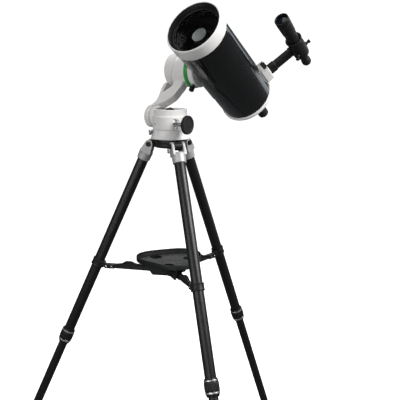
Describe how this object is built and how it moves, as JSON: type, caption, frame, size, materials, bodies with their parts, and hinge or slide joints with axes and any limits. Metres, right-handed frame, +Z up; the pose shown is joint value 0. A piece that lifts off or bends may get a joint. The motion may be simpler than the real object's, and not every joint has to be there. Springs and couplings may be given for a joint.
{
  "type": "maksutov telescope",
  "caption": "Maksutov reflecting telescope on a single-arm alt-azimuth mount with slow-motion worms, on a folding three-leg tripod with accessory tray.",
  "frame": {"origin": "on the floor, under the middle of the tripod's footprint box", "axes": "+Z up; leg a points towards -Y, the azimuth axis is vertical"},
  "size_m": [0.9096, 0.7922, 1.352],
  "materials": {
    "white_paint": "satin, fine texture",
    "black_gloss": "gloss",
    "black_satin": "satin",
    "black_plastic": "matt",
    "cast_silver": "satin",
    "green": "anodised, satin",
    "steel": "turned",
    "chrome": "polished",
    "brass": "turned",
    "rubber": "matt",
    "glass": "coated, polished",
    "mirror": "aluminised"
  },
  "bodies": {
    "base": {"tripod_hub": "black_satin", "hinge_bolts": "black_plastic", "az_base": "white_paint", "az_axle": "brass"},
    "mount_bolt": {"centre_bolt": "steel"},
    "azimuth_clamp": {"az_clamp": "chrome"},
    "head": {"turning_head": "white_paint", "arm_pivot": "chrome"},
    "azimuth_slow": {"az_worm": "chrome", "az_knob": "rubber"},
    "arm": {"arm": "white_paint"},
    "altitude_slow": {"alt_worm": "chrome", "alt_knob": "rubber"},
    "saddle": {"alt_axle": "brass", "green_ring": "green", "saddle": "white_paint"},
    "saddle_screw": {"saddle_knob": "black_plastic"},
    "tube": {"dovetail": "black_satin", "main_tube": "black_gloss", "front_ring": "white_paint", "corrector": "glass", "retaining_ring": "black_satin", "secondary_mirror": "mirror", "rear_cell": "white_paint", "baffle_tube": "black_satin", "visual_back": "black_satin", "finder_shoe": "white_paint", "finder_bracket": "black_plastic", "finder_screws": "black_plastic"},
    "focus": {"focus_knob": "rubber"},
    "mirror": {"primary_mirror": "mirror"},
    "back_screw": {"back_screw": "chrome"},
    "shoe_screw": {"shoe_screw": "black_plastic"},
    "finder": {"finder_body": "black_plastic"},
    "finder_eyepiece": {"finder_eyepiece": "rubber"},
    "tray": {"tray": "black_plastic"},
    "leg_a": {"leg_a_casting": "cast_silver", "leg_a_upper_tube": "black_satin", "leg_a_lock_rings": "steel", "leg_a_clamp": "black_plastic"},
    "lock_a": {"leg_a_lock_grip": "black_plastic"},
    "lower_leg_a": {"leg_a_lower_tube": "black_satin", "leg_a_foot": "rubber"},
    "spreader_a": {"spreader_arm_a": "black_plastic"},
    "leg_b": {"leg_b_casting": "cast_silver", "leg_b_upper_tube": "black_satin", "leg_b_lock_rings": "steel", "leg_b_clamp": "black_plastic"},
    "lock_b": {"leg_b_lock_grip": "black_plastic"},
    "lower_leg_b": {"leg_b_lower_tube": "black_satin", "leg_b_foot": "rubber"},
    "spreader_b": {"spreader_arm_b": "black_plastic"},
    "leg_c": {"leg_c_casting": "cast_silver", "leg_c_upper_tube": "black_satin", "leg_c_lock_rings": "steel", "leg_c_clamp": "black_plastic"},
    "lock_c": {"leg_c_lock_grip": "black_plastic"},
    "lower_leg_c": {"leg_c_lower_tube": "black_satin", "leg_c_foot": "rubber"},
    "spreader_c": {"spreader_arm_c": "black_plastic"}
  },
  "joints": [
    {"name": "mount_bolt_turn", "type": "hinge", "parent": "base", "child": "mount_bolt", "pos_m": [0, 0.12669, 1.00011], "axis": [0, 0, -1], "continuous": true},
    {"name": "azimuth_clamp_turn", "type": "hinge", "parent": "base", "child": "azimuth_clamp", "pos_m": [0, 0.12669, 1.03211], "axis": [0.9998, -0.0201, 0], "range_deg": [0, 180]},
    {"name": "azimuth", "type": "hinge", "parent": "base", "child": "head", "pos_m": [0, 0.12669, 1.00011], "axis": [0, 0, 1], "continuous": true},
    {"name": "azimuth_slow_turn", "type": "hinge", "parent": "head", "child": "azimuth_slow", "pos_m": [-0.02325, 0.11109, 1.05561], "axis": [0.557, -0.8305, 0], "continuous": true},
    {"name": "arm_tilt", "type": "hinge", "parent": "head", "child": "arm", "pos_m": [0, 0.12669, 1.06971], "axis": [0.557, -0.8305, 0], "range_deg": [0, 41]},
    {"name": "altitude", "type": "hinge", "parent": "arm", "child": "saddle", "pos_m": [0.08297, 0.18233, 1.18581], "axis": [-0.557, 0.8305, 0], "range_deg": [-45, 54.5]},
    {"name": "altitude_slow_turn", "type": "hinge", "parent": "arm", "child": "altitude_slow", "pos_m": [0.07294, 0.19728, 1.21711], "axis": [0.8305, 0.557, 0], "range_deg": [-1920, 2310]},
    {"name": "saddle_screw_turn", "type": "hinge", "parent": "saddle", "child": "saddle_screw", "pos_m": [0.07022, 0.14922, 1.14511], "axis": [-0.4823, -0.3235, -0.8141], "range_deg": [0, 720]},
    {"name": "tube_slide", "type": "slide", "parent": "saddle", "child": "tube", "axis": [-0.6761, -0.4535, 0.5807], "range_m": [-0.03, 0.03]},
    {"name": "mirror_slide", "type": "slide", "parent": "tube", "child": "mirror", "axis": [-0.6761, -0.4535, 0.5807], "range_m": [-0.00375, 0.00375]},
    {"name": "focus_turn", "type": "hinge", "parent": "tube", "child": "focus", "pos_m": [0.2572, 0.11683, 1.08094], "axis": [-0.6761, -0.4535, 0.5807], "range_deg": [-1810, 1810]},
    {"name": "back_screw_turn", "type": "hinge", "parent": "tube", "child": "back_screw", "pos_m": [0.25406, 0.16994, 1.11358], "axis": [0.3782, 0.4628, 0.8017], "range_deg": [0, 720]},
    {"name": "shoe_screw_turn", "type": "hinge", "parent": "tube", "child": "shoe_screw", "pos_m": [0.26229, 0.13527, 1.19942], "axis": [-0.1344, 0.8509, 0.5079], "range_deg": [0, 720]},
    {"name": "finder_align", "type": "hinge", "parent": "tube", "child": "finder", "pos_m": [0.3289, 0.07623, 1.26083], "axis": [-0.1344, 0.8509, 0.5079], "range_deg": [-1.2, 1.2]},
    {"name": "finder_focus", "type": "hinge", "parent": "finder", "child": "finder_eyepiece", "pos_m": [0.37988, 0.11042, 1.21705], "axis": [-0.6761, -0.4535, 0.5807], "range_deg": [-180, 180]},
    {"name": "leg_a_fold", "type": "hinge", "parent": "base", "child": "leg_a", "pos_m": [0, 0.07119, 1.00011], "axis": [1, 0, 0], "range_deg": [0, 8]},
    {"name": "leg_a_extend", "type": "slide", "parent": "leg_a", "child": "lower_leg_a", "axis": [0, 0.4163, 0.9092], "range_m": [0, 0.38]},
    {"name": "lock_a_turn", "type": "hinge", "parent": "leg_a", "child": "lock_a", "pos_m": [0, -0.18358, 0.44366], "axis": [0, 0.4163, 0.9092], "range_deg": [0, 90]},
    {"name": "spreader_a_swing", "type": "hinge", "parent": "leg_a", "child": "spreader_a", "pos_m": [0, -0.05838, 0.65514], "axis": [1, 0, 0], "range_deg": [0, 41.99]},
    {"name": "leg_b_fold", "type": "hinge", "parent": "base", "child": "leg_b", "pos_m": [0.04806, 0.15444, 1.00011], "axis": [-0.5, 0.866, 0], "range_deg": [0, 8]},
    {"name": "leg_b_extend", "type": "slide", "parent": "leg_b", "child": "lower_leg_b", "axis": [-0.3605, -0.2081, 0.9092], "range_m": [0, 0.38]},
    {"name": "lock_b_turn", "type": "hinge", "parent": "leg_b", "child": "lock_b", "pos_m": [0.2687, 0.28182, 0.44366], "axis": [-0.3605, -0.2081, 0.9092], "range_deg": [0, 90]},
    {"name": "spreader_b_swing", "type": "hinge", "parent": "leg_b", "child": "spreader_b", "pos_m": [0.16027, 0.21922, 0.65514], "axis": [-0.5, 0.866, 0], "range_deg": [0, 41.99]},
    {"name": "leg_c_fold", "type": "hinge", "parent": "base", "child": "leg_c", "pos_m": [-0.04806, 0.15444, 1.00011], "axis": [-0.5, -0.866, 0], "range_deg": [0, 8]},
    {"name": "leg_c_extend", "type": "slide", "parent": "leg_c", "child": "lower_leg_c", "axis": [0.3605, -0.2081, 0.9092], "range_m": [0, 0.38]},
    {"name": "lock_c_turn", "type": "hinge", "parent": "leg_c", "child": "lock_c", "pos_m": [-0.2687, 0.28182, 0.44366], "axis": [0.3605, -0.2081, 0.9092], "range_deg": [0, 90]},
    {"name": "spreader_c_swing", "type": "hinge", "parent": "leg_c", "child": "spreader_c", "pos_m": [-0.16027, 0.21922, 0.65514], "axis": [-0.5, -0.866, 0], "range_deg": [0, 41.99]},
    {"name": "tray_lift", "type": "slide", "parent": "base", "child": "tray", "axis": [0, 0, 1], "range_m": [0, 0.0926]}
  ],
  "couplings": [
    {"joint": "azimuth_slow_turn", "follows": "azimuth", "ratio": 36},
    {"joint": "altitude_slow_turn", "follows": "altitude", "ratio": 42},
    {"joint": "focus_turn", "follows": "mirror_slide", "rad_per_m": 8377.3},
    {"joint": "spreader_a_swing", "follows": "leg_a_fold", "ratio": 5.199},
    {"joint": "leg_b_fold", "follows": "leg_a_fold", "ratio": 1},
    {"joint": "spreader_b_swing", "follows": "leg_a_fold", "ratio": 5.199},
    {"joint": "leg_c_fold", "follows": "leg_a_fold", "ratio": 1},
    {"joint": "spreader_c_swing", "follows": "leg_a_fold", "ratio": 5.199},
    {"joint": "tray_lift", "follows": "leg_a_fold", "m_per_rad": 0.65875}
  ]
}
